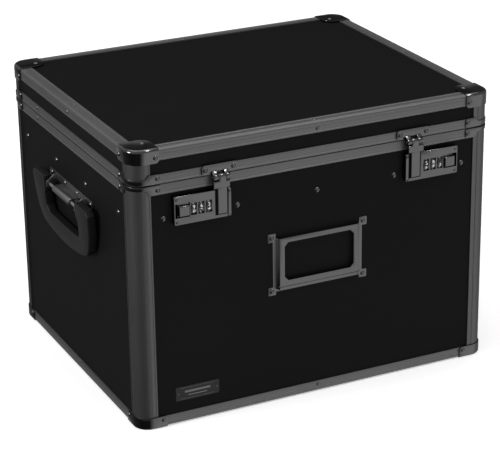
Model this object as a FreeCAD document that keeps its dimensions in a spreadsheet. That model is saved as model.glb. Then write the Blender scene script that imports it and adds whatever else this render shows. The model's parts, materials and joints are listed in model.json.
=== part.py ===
import FreeCAD, Part
import math
import os
import re
import Sketcher
from FreeCAD import Placement, Rotation, Vector

os.makedirs("parts", exist_ok=True)
doc = FreeCAD.newDocument("file_chest")

# Driving dimensions in millimetres. X runs along the front, the front faces -Y, and Z is up from the base.
# Depths named "proud" are measured outwards from the outer planes of the edge extrusions.
DIMENSIONS = [
    ("case_width", 430.0),
    ("case_depth", 356.0),
    ("case_height", 317.0),
    ("base_level", 1.2),
    ("panel_thick", 5.0),
    ("panel_recess", 1.3),
    ("gap_level", 278.5),
    ("gap_half", 0.5),
    ("edge_leg_top", 13.7),
    ("edge_leg_face", 12.6),
    ("edge_leg_base", 11.3),
    ("edge_round", 2.5),
    ("base_round", 1.0),
    ("corner_round", 16.0),
    ("corner_flange", 21.5),
    ("body_rim_tall", 11.0),
    ("lid_rim_tall", 10.0),
    ("tongue_tall", 4.0),
    ("cap_thick", 1.15),
    ("cap_leg", 32.0),
    ("lid_cap_tall", 15.0),
    ("base_cap_tall", 13.2),
    ("bracket_thick", 0.95),
    ("lock_inner", 104.8),
    ("lock_outer", 170.5),
    ("lock_low", 231.5),
    ("lock_high", 263.3),
    ("lock_proud", 5.7),
    ("lock_wall", 1.1),
    ("lock_face", 1.5),
    ("notch_inner", 108.5),
    ("notch_outer", 123.5),
    ("notch_low", 235.0),
    ("notch_floor", 2.0),
    ("dial_radius", 8.0),
    ("dial_width", 6.3),
    ("dial_pitch", 8.65),
    ("dial_middle", 139.4),
    ("dial_level", 247.0),
    ("dial_proud", 1.0),
    ("spindle_radius", 1.5),
    ("running_gap", 0.06),
    ("button_inner", 153.2),
    ("button_outer", 165.8),
    ("button_low", 241.2),
    ("button_high", 252.8),
    ("front_reach", 8.0),
    ("hasp_axis_level", 276.8),
    ("hasp_axis_proud", 4.3),
    ("hasp_barrel", 3.7),
    ("hasp_pin", 1.4),
    ("hasp_middle", 116.0),
    ("lid_axis_proud", 4.4),
    ("lid_barrel", 3.6),
    ("lid_pin", 1.8),
    ("lid_hinge_place", 115.0),
    ("grip_axis_proud", 8.7),
    ("grip_axis_level", 213.0),
    ("grip_thick", 10.0),
    ("grip_rod", 2.0),
    ("grip_tilt", 4.7),
    ("rail_inset", 21.5),
    ("rail_thick", 2.5),
    ("rail_low", 234.6),
    ("rail_high", 247.0),
    ("stay_place", 98.0),
    ("stay_rise", 6.2),
    ("stay_wide", 9.0),
    ("stay_thick", 1.4),
    ("stay_stud", 2.0),
    ("holder_sheet", 0.8),
    ("holder_half", 54.4),
    ("holder_plate_half", 47.5),
    ("holder_proud", 3.8),
    ("rivet_level", 239.0),
]
dims = doc.addObject("Spreadsheet::Sheet", "dims")
for row, (alias, value) in enumerate(DIMENSIONS, start=1):
    dims.set("A%d" % row, alias)
    dims.set("B%d" % row, str(value))
    dims.setAlias("B%d" % row, alias)
doc.recompute()

ALIASES = {alias for alias, value in DIMENSIONS}


def expression(text):
    """Point every dimension name in a formula at its cell in the sheet."""
    return re.sub(r"[a-z][a-z_]+", lambda word: "dims." * (word.group() in ALIASES) + word.group(), text)


def number(text):
    """The present value of a formula."""
    return float(dims.evalExpression(expression(text)))


def bind(item, **formulas):
    """Tie properties to formulas; a double underscore in a name stands for a dot."""
    for name, text in formulas.items():
        item.setExpression(name.replace("__", "."), expression(text))
    return item


def box(name, x, y, z):
    """A block between two formulas on each axis."""
    item = doc.addObject("Part::Box", name)
    for side, axis, (low, high) in zip(("Length", "Width", "Height"), "xyz", (x, y, z)):
        item.setExpression(side, expression("(%s) - (%s)" % (high, low)))
        item.setExpression("Placement.Base." + axis, expression(low))
    return item


AXIS_TURNS = {
    "x": Rotation(Vector(0, 1, 0), 90),
    "y": Rotation(Vector(1, 0, 0), -90),
    "z": Rotation(),
}


def rod(name, axis, radius, span, centre, angle=360):
    """A cylinder along one axis; centre lists the formulas of the other two coordinates in X, Y, Z order."""
    item = doc.addObject("Part::Cylinder", name)
    item.Placement = Placement(Vector(), AXIS_TURNS[axis])
    item.Angle = angle
    low, high = span
    others = [other for other in "xyz" if other != axis]
    bind(item, Radius=radius, Height="(%s) - (%s)" % (high, low))
    item.setExpression("Placement.Base." + axis, expression(low))
    for other, text in zip(others, centre):
        item.setExpression("Placement.Base." + other, expression(text))
    return item


PLANES = {"x": "YZ_Plane", "y": "XZ_Plane", "z": "XY_Plane"}


def prism(name, axis, points, span):
    """A padded outline. Points are formula pairs in the two other axes; the pad fills the span."""
    body = doc.addObject("PartDesign::Body", name)
    sketch = body.newObject("Sketcher::SketchObject", name + "_outline")
    plane = [item for item in body.Origin.OriginFeatures if item.Role == PLANES[axis]][0]
    sketch.AttachmentSupport = (plane, [""])
    sketch.MapMode = "FlatFace"
    low, high = span
    # The XZ plane looks along -Y, so its offset starts at the far end of the span.
    start = "-(%s)" % high if axis == "y" else low
    sketch.setExpression("AttachmentOffset.Base.z", expression(start))
    corners = [Vector(number(u), number(v), 0) for u, v in points]
    count = len(corners)
    lines = [Part.LineSegment(corners[i], corners[(i + 1) % count]) for i in range(count)]
    sketch.addGeometry(lines, False)
    for i in range(count):
        sketch.addConstraint(Sketcher.Constraint("Coincident", i, 2, (i + 1) % count, 1))
    for i, (u, v) in enumerate(points):
        for kind, text, value in (("DistanceX", u, corners[i].x), ("DistanceY", v, corners[i].y)):
            index = sketch.addConstraint(Sketcher.Constraint(kind, -1, 1, i, 1, value))
            sketch.setExpression("Constraints[%d]" % index, expression(text))
    pad = body.newObject("PartDesign::Pad", name + "_pad")
    pad.Profile = sketch
    bind(pad, Length="(%s) - (%s)" % (high, low))
    body.Tip = pad
    doc.recompute()
    return body


def edges_where(shape, test, along=None):
    """Names of the edges whose end points pass a test and, when asked, that run along one axis."""
    found = []
    for i, edge in enumerate(shape.Edges, start=1):
        ends = [vertex.Point for vertex in edge.Vertexes]
        if along:
            run = ends[-1] - ends[0]
            if abs(getattr(run, along)) < run.Length - 0.001:
                continue
        if all(test(point) for point in ends):
            found.append("Edge%d" % i)
    return found


def soften(body, name, radius, test):
    """Round chosen edges at the end of a body."""
    base = body.Tip
    fillet = body.newObject("PartDesign::Fillet", name)
    fillet.Base = (base, edges_where(base.Shape, test))
    bind(fillet, Radius=radius)
    body.Tip = fillet
    doc.recompute()
    return body


def rounded(name, source, rounds):
    """Round edges of a plain solid. Each round is a radius formula, an edge test and perhaps an axis."""
    doc.recompute()
    item = doc.addObject("Part::Fillet", name)
    item.Base = source
    edges = []
    for radius, *choice in rounds:
        size = number(radius)
        edges += [(int(edge[4:]), size, size) for edge in edges_where(source.Shape, *choice)]
    item.Edges = edges
    doc.recompute()
    return item


def cut(name, base, *tools):
    tool = tools[0] if len(tools) == 1 else group(name + "_tools", *tools)
    item = doc.addObject("Part::Cut", name)
    item.Base = base
    item.Tool = tool
    return item


def join(name, *parts):
    item = doc.addObject("Part::MultiFuse", name)
    item.Shapes = list(parts)
    return item


def overlap(name, *parts):
    item = doc.addObject("Part::MultiCommon", name)
    item.Shapes = list(parts)
    return item


def group(name, *parts):
    item = doc.addObject("Part::Compound", name)
    item.Links = list(parts)
    return item


def mirror(name, source, axis):
    item = doc.addObject("Part::Mirroring", name)
    item.Source = source
    item.Normal = Vector(1, 0, 0) if axis == "x" else Vector(0, 1, 0)
    return item


def both_ways(name, source, axis):
    """A piece and its mirror image as one group."""
    return group(name, source, mirror(name + "_mirror", source, axis))


def four_corners(name, source):
    return both_ways(name, both_ways(name + "_pair", source, "x"), "y")


NODES = {}


def node(name, item):
    """Keep an object as one exported piece."""
    NODES[name] = item
    return item


LEFT = "-case_width / 2"
RIGHT = "case_width / 2"
FRONT = "-case_depth / 2"
BACK = "case_depth / 2"
PANEL_IN = "panel_recess + panel_thick"
BODY_TOP = "gap_level - gap_half"
LID_LOW = "gap_level + gap_half"

# ---------------------------------------------------------------- panels
PANEL_SPAN_X = ("%s + corner_flange - 3.9" % LEFT, "%s - corner_flange + 3.9" % RIGHT)
PANEL_SPAN_Y = ("%s + corner_flange - 3.9" % FRONT, "%s - corner_flange + 3.9" % BACK)
FRONT_SHEET = ("%s + panel_recess" % FRONT, "%s + %s" % (FRONT, PANEL_IN))
LEFT_SHEET = ("%s + panel_recess" % LEFT, "%s + %s" % (LEFT, PANEL_IN))
BODY_WALL = ("base_level + panel_recess + 0.2", "%s - panel_recess - 0.2" % BODY_TOP)
LID_WALL = ("%s + panel_recess + 0.2" % LID_LOW, "case_height - panel_recess - 0.2")
FLAT_SPAN_X = ("%s + 7.9" % LEFT, "%s - 7.9" % RIGHT)
FLAT_SPAN_Y = ("%s + 7.9" % FRONT, "%s - 7.9" % BACK)

front_blank = box("front_blank", PANEL_SPAN_X, FRONT_SHEET, BODY_WALL)
lock_cutout = box(
    "lock_cutout",
    ("-156.2", "-122.2"),
    (FRONT, "%s + %s + 1" % (FRONT, PANEL_IN)),
    ("dial_level - 10.2", "dial_level + 10.2"),
)
node("body_front_panel", cut("front_panel", front_blank, both_ways("lock_cutouts", lock_cutout, "x")))
node("body_back_panel", mirror("back_panel", front_blank, "y"))
left_panel = node("body_left_panel", box("left_panel", LEFT_SHEET, PANEL_SPAN_Y, BODY_WALL))
node("body_right_panel", mirror("right_panel", left_panel, "x"))
node(
    "body_bottom_panel",
    box(
        "bottom_panel",
        FLAT_SPAN_X,
        FLAT_SPAN_Y,
        ("base_level + panel_recess", "base_level + " + PANEL_IN),
    ),
)
node(
    "lid_top_panel",
    box(
        "top_panel",
        FLAT_SPAN_X,
        FLAT_SPAN_Y,
        ("case_height - (%s)" % PANEL_IN, "case_height - panel_recess"),
    ),
)
lid_front = node("lid_front_panel", box("lid_front", PANEL_SPAN_X, FRONT_SHEET, LID_WALL))
node("lid_back_panel", mirror("lid_back", lid_front, "y"))
lid_left = node("lid_left_panel", box("lid_left", LEFT_SHEET, PANEL_SPAN_Y, LID_WALL))
node("lid_right_panel", mirror("lid_right", lid_left, "x"))

# ---------------------------------------------------------------- edge extrusions
# Sections are drawn by distance in from the outer face (first) and from the end plane (second).
LIP = "0"
FLAT = "0.35"


def edge_section(top_leg, face_leg):
    """A ribbed angle with a slot for the wall panel and a ledge behind the flat panel."""
    return [
        (LIP, face_leg),
        (LIP, face_leg + " - 1.6"),
        (FLAT, face_leg + " - 2.0"),
        (FLAT, "5.4"),
        (LIP, "5.0"),
        (LIP, "3.6"),
        ("0.3", "3.3"),
        ("0.3", "2.9"),
        (LIP, "2.6"),
        (LIP, LIP),
        ("2.6", LIP),
        ("2.9", "0.3"),
        ("3.3", "0.3"),
        ("3.6", LIP),
        ("5.0", LIP),
        ("5.4", FLAT),
        (top_leg + " - 2.0", FLAT),
        (top_leg + " - 1.6", LIP),
        (top_leg, LIP),
        (top_leg, "panel_recess"),
        ("7.7", "panel_recess"),
        ("7.7", "panel_recess + panel_thick + 0.2"),
        ("17.5", "panel_recess + panel_thick + 0.2"),
        ("17.5", "7.7"),
        ("7.7", "7.7"),
        ("7.7", "18"),
        ("6.5", "18"),
        ("6.5", "panel_recess"),
        ("panel_recess", "panel_recess"),
        ("panel_recess", face_leg),
    ]


BODY_RIM_SECTION = [
    (LIP, LIP),
    (LIP, "1.6"),
    (FLAT, "2.0"),
    (FLAT, "body_rim_tall - 2.0"),
    (LIP, "body_rim_tall - 1.6"),
    (LIP, "body_rim_tall"),
    ("panel_recess", "body_rim_tall"),
    ("panel_recess", "panel_recess"),
    ("6.5", "panel_recess"),
    ("6.5", "body_rim_tall"),
    ("9.3", "body_rim_tall"),
    ("9.3", "-tongue_tall"),
    ("8.1", "-tongue_tall"),
    ("8.1", LIP),
]
LID_RIM_SECTION = [
    (LIP, LIP),
    (LIP, "1.6"),
    (FLAT, "2.0"),
    (FLAT, "lid_rim_tall - 2.0"),
    (LIP, "lid_rim_tall - 1.6"),
    (LIP, "lid_rim_tall"),
    ("panel_recess", "lid_rim_tall"),
    ("panel_recess", "panel_recess"),
    ("6.5", "panel_recess"),
    ("6.5", "lid_rim_tall"),
    ("7.7", "lid_rim_tall"),
    ("7.7", LIP),
]
STRAIGHT_X = ("%s + corner_flange + 0.2" % LEFT, "%s - corner_flange - 0.2" % RIGHT)
STRAIGHT_Y = ("%s + corner_flange + 0.2" % FRONT, "%s - corner_flange - 0.2" % BACK)


def edge_frame(name, section, level, rising, round_size=None):
    """Four straight extrusions round the case, each drawn from its own outer face at one level."""
    sign = "+" if rising else "-"
    pieces = []
    for side, axis, start, span in (("front", "x", FRONT, STRAIGHT_X), ("left", "y", LEFT, STRAIGHT_Y)):
        points = [("%s + (%s)" % (start, u), "(%s) %s (%s)" % (level, sign, v)) for u, v in section]
        bar = prism("%s_%s" % (name, side), axis, points, span)
        if round_size:
            near = number(start)
            height = number(level)
            soften(
                bar,
                "%s_%s_round" % (name, side),
                round_size,
                lambda p: abs((p.y if axis == "x" else p.x) - near) < 0.01 and abs(p.z - height) < 0.01,
            )
        pieces.append(both_ways("%s_%s_bars" % (name, side), bar, "y" if axis == "x" else "x"))
    return group(name, *pieces)


node(
    "lid_edge_extrusions",
    edge_frame(
        "lid_edges",
        edge_section("edge_leg_top", "edge_leg_face"),
        "case_height",
        False,
        "edge_round",
    ),
)
node(
    "base_edge_extrusions",
    edge_frame(
        "base_edges",
        edge_section("edge_leg_base", "edge_leg_base"),
        "base_level",
        True,
        "base_round",
    ),
)
node("body_rim_extrusions", edge_frame("body_rims", BODY_RIM_SECTION, BODY_TOP, False))
node("lid_rim_extrusions", edge_frame("lid_rims", LID_RIM_SECTION, LID_LOW, True))


def corner_extrusion(name, low, high):
    """A hollow quarter-round post with a lipped flange and an inner leg along each wall."""
    centre = ("%s + corner_round" % LEFT, "%s + corner_round" % FRONT)
    outer = rod(name + "_outer", "z", "corner_round", (low, high), centre, 90)
    inner = rod(name + "_inner", "z", "corner_round - 1.3", (low + " - 1", high + " + 1"), centre, 90)
    for sector in (outer, inner):
        sector.Placement = Placement(Vector(), Rotation(Vector(0, 0, 1), 180))
    bow = cut(name + "_bow", outer, inner)
    level = (low, high)
    blocks = [
        ("flange", ("corner_round", "corner_flange"), (FLAT, "1.3")),
        ("lip", ("corner_flange - 1.6", "corner_flange"), (LIP, "1.3")),
        ("web", ("corner_round", "corner_round + 1.3"), (FLAT, "7.6")),
        ("leg", ("6.4", "corner_flange - 0.5"), ("6.4", "7.6")),
    ]
    parts = [bow]
    for label, u, v in blocks:
        along_front = (
            ["%s + (%s)" % (LEFT, text) for text in u],
            ["%s + (%s)" % (FRONT, text) for text in v],
        )
        along_left = (
            ["%s + (%s)" % (LEFT, text) for text in v],
            ["%s + (%s)" % (FRONT, text) for text in u],
        )
        parts.append(box("%s_%s_a" % (name, label), *along_front, level))
        parts.append(box("%s_%s_b" % (name, label), *along_left, level))
    return join(name, *parts)


body_post = corner_extrusion("body_post", "base_level + 1.2", BODY_TOP + " - 0.1")
node("body_corner_extrusions", four_corners("body_posts", body_post))
lid_post = corner_extrusion("lid_post", LID_LOW + " + 0.1", "case_height - 3")
node("lid_corner_extrusions", four_corners("lid_posts", lid_post))

# ---------------------------------------------------------------- corner hardware
SHELL_SPAN = "cap_leg + 12"


def corner_block(name, grow, z, upper, edge_round):
    """The outside of a case corner, grown by a little, with its three edges rounded."""
    x = ("%s - (%s)" % (LEFT, grow), "%s + %s" % (LEFT, SHELL_SPAN))
    y = ("%s - (%s)" % (FRONT, grow), "%s + %s" % (FRONT, SHELL_SPAN))
    block = box(name + "_block", x, y, z)
    doc.recompute()
    x0, y0 = number(x[0]), number(y[0])
    z0 = number(z[1] if upper else z[0])
    post = rounded(
        name + "_post",
        block,
        [("corner_round + (%s)" % grow, lambda p: abs(p.x - x0) < 0.01 and abs(p.y - y0) < 0.01)],
    )

    def on_rim(p):
        near_side = abs(p.x - x0) < number("corner_round") + 2 and abs(p.y - y0) < number("corner_round") + 2
        return abs(p.z - z0) < 0.01 and (abs(p.x - x0) < 0.01 or abs(p.y - y0) < 0.01 or near_side)

    return rounded(name, post, [(edge_round, on_rim)])


def corner_region(name, z_faces, z_plate):
    """Two wall legs and a rounded plate, the parts of the corner that a cap covers."""
    u = ("%s - 3" % LEFT, "%s + cap_leg" % LEFT)
    v = ("%s - 3" % FRONT, "%s + cap_leg" % FRONT)
    thin_x = ("%s - 3" % LEFT, "%s + 2.6" % LEFT)
    thin_y = ("%s - 3" % FRONT, "%s + 2.6" % FRONT)
    leg_front = box(name + "_leg_front", u, thin_y, z_faces)
    leg_left = box(name + "_leg_left", thin_x, v, z_faces)
    knuckle = box(
        name + "_knuckle",
        ("%s - 3" % LEFT, "%s + corner_round" % LEFT),
        ("%s - 3" % FRONT, "%s + corner_round" % FRONT),
        z_faces,
    )
    plate = box(name + "_plate", u, v, z_plate)
    doc.recompute()
    inner_x, inner_y = number(u[1]), number(v[1])
    plate_round = rounded(
        name + "_plate_round",
        plate,
        [("13", lambda p: abs(p.x - inner_x) < 0.01 and abs(p.y - inner_y) < 0.01, "z")],
    )
    legs = []
    free = number(z_faces[0]) if number(z_plate[0]) > number(z_faces[0]) else number(z_faces[1])
    for leg, test, axis in (
        (leg_front, lambda p: abs(p.x - inner_x) < 0.01 and abs(p.z - free) < 0.01, "y"),
        (leg_left, lambda p: abs(p.y - inner_y) < 0.01 and abs(p.z - free) < 0.01, "x"),
    ):
        legs.append(rounded(leg.Name + "_round", leg, [("4.5", test, axis)]))
    return join(name, plate_round, knuckle, *legs)


lid_cap_outer = corner_block(
    "lid_cap_outer",
    "cap_thick + 0.05",
    ("case_height - 40", "case_height + cap_thick + 0.05"),
    True,
    "edge_round + cap_thick - 0.05",
)
lid_cap_inner = corner_block(
    "lid_cap_inner",
    "0.05",
    ("case_height - 41", "case_height + 0.05"),
    True,
    "edge_round - 0.1",
)
lid_cap_area = corner_region(
    "lid_cap_area",
    ("case_height - lid_cap_tall", "case_height + 3"),
    ("case_height - 2.6", "case_height + 3"),
)
lid_cap = overlap("lid_cap", cut("lid_cap_shell", lid_cap_outer, lid_cap_inner), lid_cap_area)
node("lid_corner_caps", four_corners("lid_caps", lid_cap))

base_cap_outer = corner_block(
    "base_cap_outer",
    "cap_thick + 0.05",
    ("0", "40"),
    False,
    "base_round + cap_thick - 0.05",
)
base_cap_inner = corner_block("base_cap_inner", "0.05", ("cap_thick", "41"), False, "base_round - 0.1")
base_cap_area = corner_region("base_cap_area", ("-3", "base_cap_tall"), ("-3", "cap_thick + 2.6"))
base_cap = overlap("base_cap", cut("base_cap_shell", base_cap_outer, base_cap_inner), base_cap_area)
node("base_corner_caps", four_corners("base_caps", base_cap))


def rim_bracket(name, plate, band, taper_up):
    """A strip bent round the corner with a wider plate on each wall."""
    centre = ("%s + corner_round" % LEFT, "%s + corner_round" % FRONT)
    outer = rod(name + "_outer", "z", "corner_round + 0.05 + bracket_thick", band, centre, 90)
    inner = rod(
        name + "_inner",
        "z",
        "corner_round + 0.05",
        (band[0] + " - 1", band[1] + " + 1"),
        centre,
        90,
    )
    for sector in (outer, inner):
        sector.Placement = Placement(Vector(), Rotation(Vector(0, 0, 1), 180))
    bow = cut(name + "_bow", outer, inner)
    low, high = plate
    outline = [("16", band[0]), ("16", band[1])]
    if taper_up:
        outline += [("19.5", high), ("cap_leg - 1.5", high), ("cap_leg", high + " - 1.5")]
        outline += [("cap_leg", low), ("17", low)]
    else:
        outline += [("17", high), ("cap_leg", high), ("cap_leg", low + " + 1.5")]
        outline += [("cap_leg - 1.5", low), ("19.5", low)]
    front_points = [("%s + (%s)" % (LEFT, u), w) for u, w in outline]
    left_points = [("%s + (%s)" % (FRONT, u), w) for u, w in outline]
    front_plate = prism(
        name + "_front",
        "y",
        front_points,
        (FRONT + " - 0.05 - bracket_thick", FRONT + " - 0.05"),
    )
    left_plate = prism(
        name + "_left",
        "x",
        left_points,
        (LEFT + " - 0.05 - bracket_thick", LEFT + " - 0.05"),
    )
    return join(name, bow, front_plate, left_plate)


lid_bracket = rim_bracket(
    "lid_bracket",
    ("gap_level + 1", "gap_level + 11.6"),
    ("gap_level + 1.5", "gap_level + 7"),
    True,
)
node("lid_corner_brackets", four_corners("lid_brackets", lid_bracket))
body_bracket = rim_bracket(
    "body_bracket",
    ("gap_level - 11", "gap_level - 0.7"),
    ("gap_level - 5", "gap_level - 0.9"),
    False,
)
node("body_corner_brackets", four_corners("body_brackets", body_bracket))

# ---------------------------------------------------------------- combination locks (left one drawn)


def front(text):
    """The Y coordinate of a plane standing proud of the front."""
    return "%s - (%s)" % (FRONT, text)


def front_span(low, high):
    return (front(high), front(low))


def left_span(inner, outer):
    """An X span on the left half, from distances out from the middle."""
    return ("-(%s)" % outer, "-(%s)" % inner)


def near(value, text):
    return abs(value - number(text)) < 0.01


lock_block = box(
    "lock_block",
    left_span("lock_inner", "lock_outer"),
    front_span("-panel_recess + 0.05", "lock_proud"),
    ("lock_low", "lock_high"),
)
lock_shape = rounded("lock_shape", lock_block, [("1.8", lambda p: True, "y")])
lock_shape = rounded("lock_softened", lock_shape, [("0.7", lambda p: near(p.y, front("lock_proud")))])
lock_room = box(
    "lock_room",
    left_span("notch_outer + 1.5", "lock_outer - lock_wall"),
    front_span("-panel_recess - 1", "lock_proud - lock_face"),
    ("lock_low + 1.5", "lock_high - 1.5"),
)
lock_notch = box(
    "lock_notch",
    left_span("notch_inner", "notch_outer"),
    front_span("notch_floor", "lock_proud + 1"),
    ("notch_low", "lock_high + 1"),
)
hook_slot = box(
    "hook_slot",
    left_span("hasp_middle - 4.2", "hasp_middle + 4.2"),
    front_span("-panel_recess - 1", "notch_floor + 1"),
    ("240.5", "lock_high + 1"),
)
button_gap = box(
    "button_gap",
    left_span("button_inner - 0.8", "button_outer + 3.2"),
    front_span("3", "lock_proud + 1"),
    ("button_low - 1.8", "button_high + 2.4"),
)
spindle_groove = box(
    "spindle_groove",
    ("-125.4", "-122.2"),
    front_span("-2", "0.6"),
    ("dial_level - 2", "dial_level + 2"),
)
dial_windows = [
    box(
        "dial_window_%d" % i,
        left_span(
            "dial_middle + (%d) * dial_pitch - dial_width / 2 - 0.3" % i,
            "dial_middle + (%d) * dial_pitch + dial_width / 2 + 0.3" % i,
        ),
        front_span("3", "lock_proud + 1"),
        ("dial_level - 6.6", "dial_level + 6.6"),
    )
    for i in (-1, 0, 1)
]
lock_hollows = [lock_room, lock_notch, hook_slot, spindle_groove, button_gap] + dial_windows
lock_left = node("lock_housing_left", cut("lock_left", lock_shape, *lock_hollows))
node("lock_housing_right", mirror("lock_right", lock_left, "x"))

DIAL_CENTRE = front("lock_proud + dial_proud - dial_radius")
cover_outer = box(
    "cover_outer",
    ("-155.8", "-122.6"),
    front_span("-11", "-panel_recess - 0.1"),
    ("dial_level - 9.8", "dial_level + 9.8"),
)
cover_inner = box(
    "cover_inner",
    ("-154.6", "-123.8"),
    front_span("-9.8", "0"),
    ("dial_level - 8.6", "dial_level + 8.6"),
)
cover_flange = box(
    "cover_flange",
    ("-160", "-118.4"),
    front_span("-7.5", "-6.4"),
    ("lock_low + 1.5", "lock_high - 1.5"),
)
cover_bore = rod("cover_bore", "x", "spindle_radius + 0.05", ("-160", "-115"), (DIAL_CENTRE, "dial_level"))
cover_shape = join("cover_shape", cover_outer, cover_flange)
cover_left = node("lock_cover_left", cut("cover_left", cover_shape, cover_inner, cover_bore))
node("lock_cover_right", mirror("cover_right", cover_left, "x"))

spindle = rod("spindle_left", "x", "spindle_radius", ("-155.4", "-123"), (DIAL_CENTRE, "dial_level"))
node("dial_spindles", both_ways("spindles", spindle, "x"))

DIAL_NAMES = {-1: "inner", 0: "middle", 1: "outer"}
for i, place in DIAL_NAMES.items():
    middle = "dial_middle + (%d) * dial_pitch" % i
    span = left_span(middle + " - dial_width / 2", middle + " + dial_width / 2")
    wheel = rod("dial_wheel_%s" % place, "x", "dial_radius", span, (DIAL_CENTRE, "dial_level"))
    bore = rod(
        "dial_bore_%s" % place,
        "x",
        "spindle_radius + running_gap",
        (span[0] + " - 1", span[1] + " + 1"),
        (DIAL_CENTRE, "dial_level"),
    )
    grooves = []
    for tooth in range(10):
        turn = math.radians(36 * tooth)
        grooves.append(
            rod(
                "dial_groove_%s_%d" % (place, tooth),
                "x",
                "0.55",
                (span[0] + " - 1", span[1] + " + 1"),
                (
                    "%s + (dial_radius + 0.15) * %.9f" % (DIAL_CENTRE, math.cos(turn)),
                    "dial_level + (dial_radius + 0.15) * %.9f" % math.sin(turn),
                ),
            )
        )
    dial = node("dial_left_%s" % place, cut("dial_%s" % place, wheel, bore, *grooves))
    node("dial_right_%s" % place, mirror("dial_%s_mirror" % place, dial, "x"))

button_block = box(
    "button_block",
    left_span("button_inner", "button_outer"),
    front_span("1.9", "front_reach"),
    ("button_low", "button_high"),
)
button_pad = rounded("button_pad", button_block, [("1.3", lambda p: near(p.y, front("front_reach")))])
slider_base = box(
    "slider_base",
    left_span("button_inner - 1.5", "button_outer + 0.2"),
    front_span("0.6", "3.9"),
    ("dial_level - 11.5", "dial_level + 10"),
)
slider_bolt = box(
    "slider_bolt",
    left_span("notch_outer + 1.8", "button_outer"),
    front_span("0.6", "3"),
    ("lock_low + 2", "lock_low + 5.8"),
)
slider_left = node("lock_slider_left", join("slider_left", button_pad, slider_base, slider_bolt))
node("lock_slider_right", mirror("slider_right", slider_left, "x"))

# ---------------------------------------------------------------- hasps
HASP_Y = front("hasp_axis_proud")
plate_block = box(
    "hasp_plate_block",
    ("-136.3", "-95.8"),
    front_span("0.05", "1.6"),
    ("gap_level + 1.1", "gap_level + 11.8"),
)
hasp_plate = rounded(
    "hasp_plate_round",
    plate_block,
    [("3.4", lambda p: True, "y")],
)
PLATE_KNUCKLES = (("inner", "106.4", "111.5"), ("outer", "119.8", "125.2"))
plate_parts = [hasp_plate]
for place, inner, outer in PLATE_KNUCKLES:
    span = left_span(inner, outer)
    plate_parts.append(rod("plate_knuckle_" + place, "x", "hasp_barrel", span, (HASP_Y, "hasp_axis_level")))
    web = [
        (front("0.1"), "gap_level + 1.3"),
        (front("0.1"), "gap_level + 5"),
        (front("1.6"), "gap_level + 5"),
        (front("5.4"), "hasp_axis_level + 3.4"),
        (front("4.3"), "hasp_axis_level + 0.7"),
        (front("1.3"), "hasp_axis_level + 1"),
    ]
    plate_parts.append(prism("plate_web_" + place, "x", web, span))
plate_bore = rod("plate_bore", "x", "hasp_pin + running_gap", ("-130", "-100"), (HASP_Y, "hasp_axis_level"))
plate_bay = box(
    "plate_bay",
    ("-119.9", "-111.4"),
    front_span("-1", "front_reach + 1"),
    ("hasp_axis_level - 6", "gap_level + 3"),
)
plate_left = node(
    "hasp_plate_left",
    cut("plate_left", join("plate_shape", *plate_parts), plate_bore, plate_bay),
)
node("hasp_plate_right", mirror("plate_right", plate_left, "x"))
hasp_pin = rod("hasp_pin_left", "x", "hasp_pin", ("-125.4", "-106.2"), (HASP_Y, "hasp_axis_level"))
node("hasp_pins", both_ways("hasp_pins_pair", hasp_pin, "x"))

strap_wide = box(
    "strap_wide",
    ("-126.3", "-106.6"),
    front_span("5.8", "front_reach"),
    ("lock_high + 1.4", "hasp_axis_level - 4"),
)
strap_wide_round = rounded(
    "strap_wide_round",
    strap_wide,
    [("1.4", lambda p: near(p.y, front("front_reach")) and (near(p.x, "-126.3") or near(p.x, "-106.6")))],
)
strap_block = box(
    "strap_block",
    ("-122.2", "-109.8"),
    front_span("2.9", "front_reach"),
    ("notch_low + 0.9", "lock_high + 3"),
)
strap_narrow = rounded(
    "strap_narrow",
    strap_block,
    [("1.9", lambda p: near(p.y, front("front_reach")) and (near(p.x, "-122.2") or near(p.x, "-109.8")))],
)
strap_arm = box(
    "strap_arm",
    ("-119.5", "-111.8"),
    front_span("5.8", "hasp_axis_proud + hasp_barrel"),
    ("hasp_axis_level - 5", "hasp_axis_level"),
)
strap_knuckle = rod("strap_knuckle", "x", "hasp_barrel", ("-119.5", "-111.8"), (HASP_Y, "hasp_axis_level"))
hook = box(
    "hasp_hook",
    left_span("hasp_middle - 3", "hasp_middle + 3"),
    front_span("-0.3", "3.2"),
    ("243", "249"),
)
strap_bore = rod("strap_bore", "x", "hasp_pin + running_gap", ("-130", "-100"), (HASP_Y, "hasp_axis_level"))
hasp_shape = join("hasp_shape", strap_wide_round, strap_narrow, strap_arm, strap_knuckle, hook)
hasp_left = node("hasp_left", cut("hasp_left_piece", hasp_shape, strap_bore))
node("hasp_right", mirror("hasp_right_piece", hasp_left, "x"))

# ---------------------------------------------------------------- rear hinges
HINGE_Y = "%s + lid_axis_proud" % BACK
SEGMENTS = (("a", -30.0, -18.2), ("b", -17.8, -6.2), ("c", -5.8, 5.8), ("d", 6.2, 17.8), ("e", 18.2, 30.0))


def hinge_leaf(name, labels, plate_z, web_z):
    parts = [
        box(
            name + "_leaf",
            ("-lid_hinge_place - 30", "-lid_hinge_place + 30"),
            (BACK + " + 0.05", BACK + " + 1.25"),
            plate_z,
        )
    ]
    for label, low, high in SEGMENTS:
        if label in labels:
            span = ("-lid_hinge_place + (%.1f)" % low, "-lid_hinge_place + (%.1f)" % high)
            parts.append(
                rod("%s_knuckle_%s" % (name, label), "x", "lid_barrel", span, (HINGE_Y, "gap_level")),
            )
            parts.append(box("%s_web_%s" % (name, label), span, (BACK + " + 0.05", HINGE_Y), web_z))
    bore = rod(
        name + "_bore",
        "x",
        "lid_pin + running_gap",
        ("-lid_hinge_place - 40", "-lid_hinge_place + 40"),
        (HINGE_Y, "gap_level"),
    )
    return cut(name, join(name + "_shape", *parts), bore)


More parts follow.
